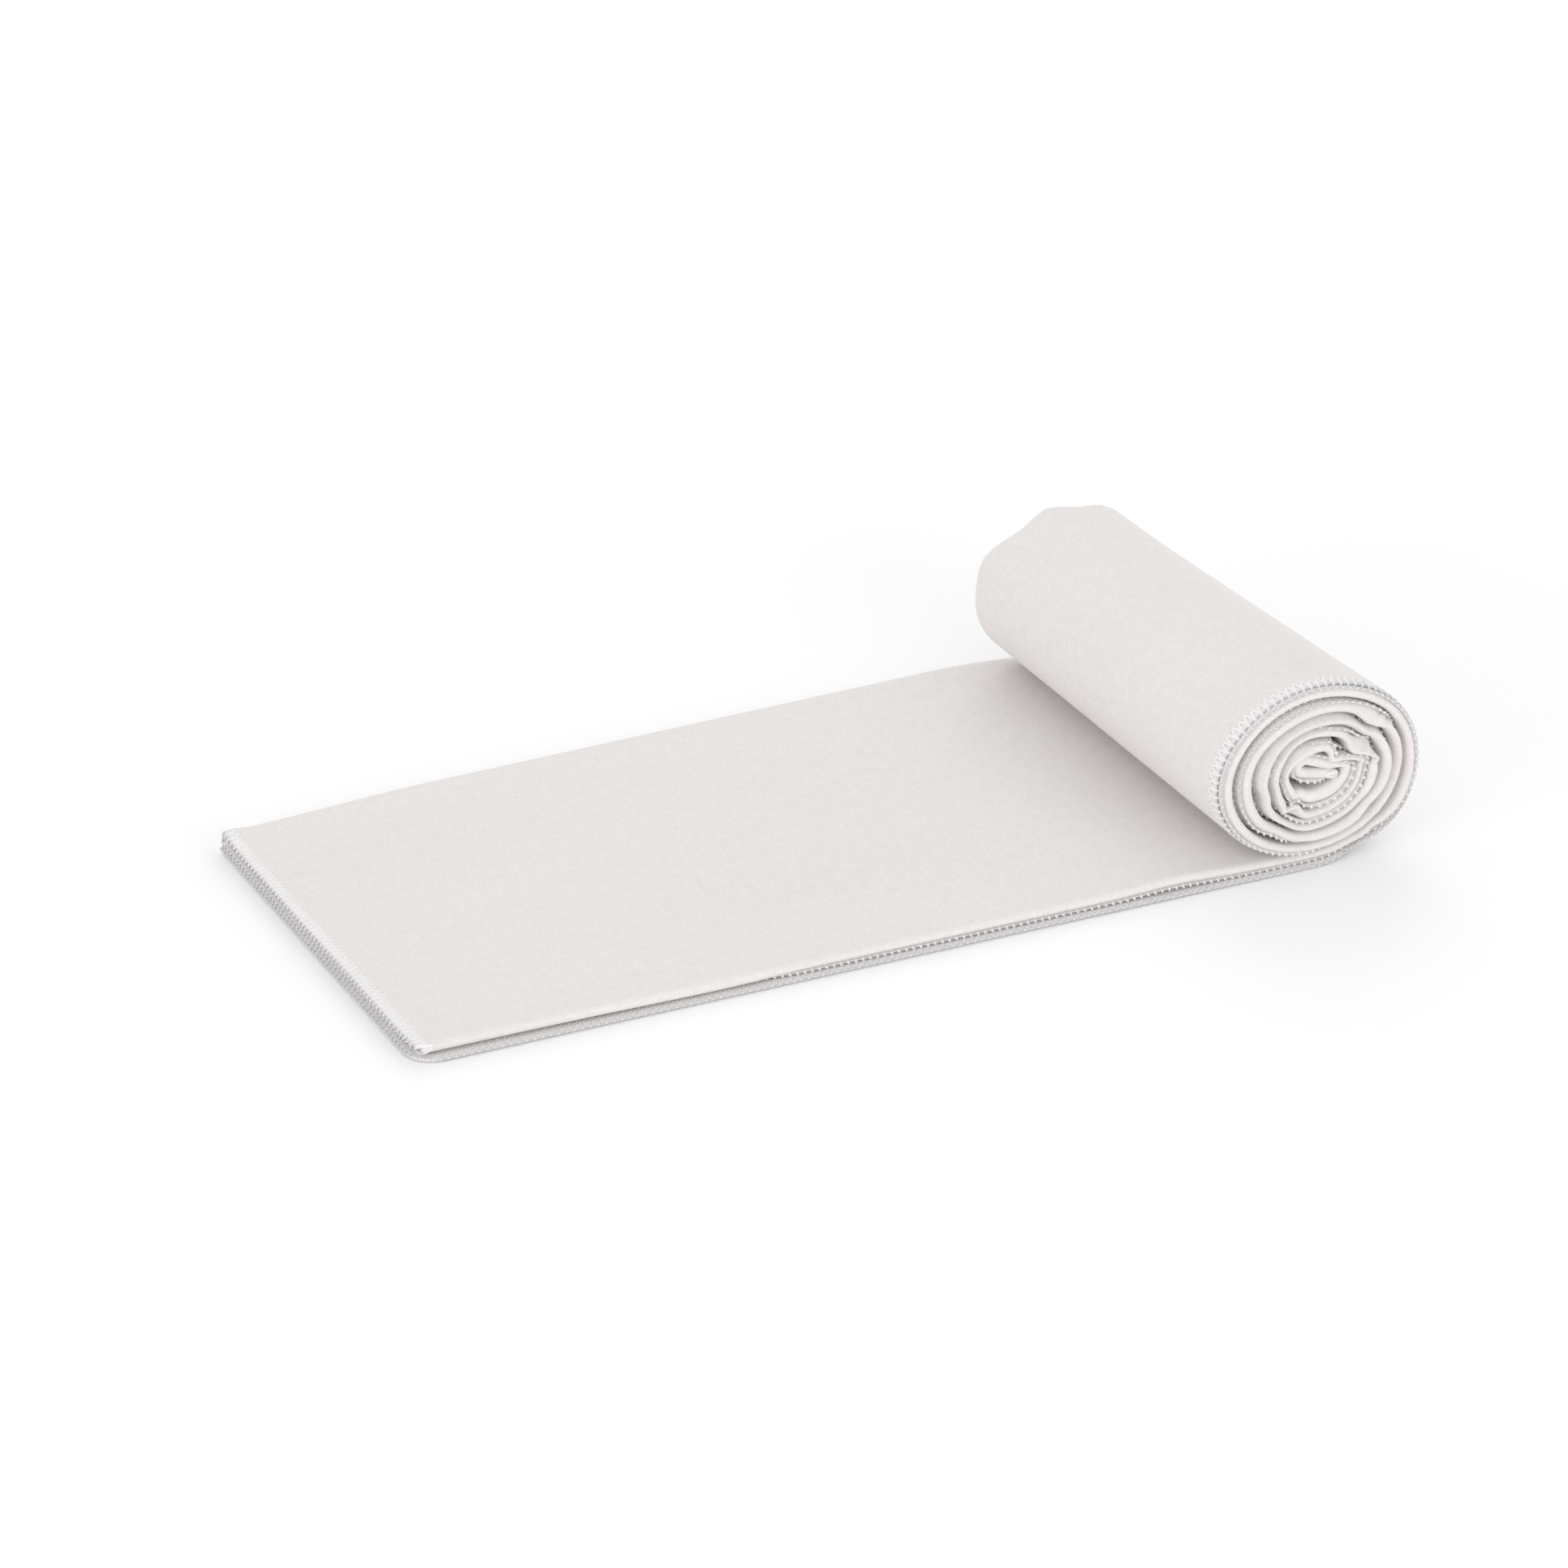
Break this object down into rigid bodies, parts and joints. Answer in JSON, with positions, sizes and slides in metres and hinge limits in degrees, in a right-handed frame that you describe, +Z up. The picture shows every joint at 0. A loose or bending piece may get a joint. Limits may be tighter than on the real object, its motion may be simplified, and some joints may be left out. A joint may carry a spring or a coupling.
{
  "type": "quick dry towel",
  "caption": "Microfibre travel towel with overlocked edges, folded in quarters along its length and half rolled up from one end.",
  "frame": {"origin": "bottom centre of the whole towel's box, on the surface it lies on", "axes": "+X along the folded strip towards the roll, +Y towards the side with the nested double fold, +Z up"},
  "size_m": [0.3246, 0.1568, 0.061],
  "materials": {
    "microfibre": "brushed suede microfibre, matt, warm off-white",
    "overlock_thread": "fluffy white polyester overlock thread with a slight sheen"
  },
  "bodies": {
    "root": {"cloth_flat_run": "microfibre", "cloth_rolled_run": "microfibre", "outer_end_hem": "overlock_thread", "core_end_hem": "overlock_thread", "lower_side_hem_flat": "overlock_thread", "lower_side_hem_rolled": "overlock_thread", "upper_side_hem_flat": "overlock_thread", "upper_side_hem_rolled": "overlock_thread"}
  },
  "joints": []
}
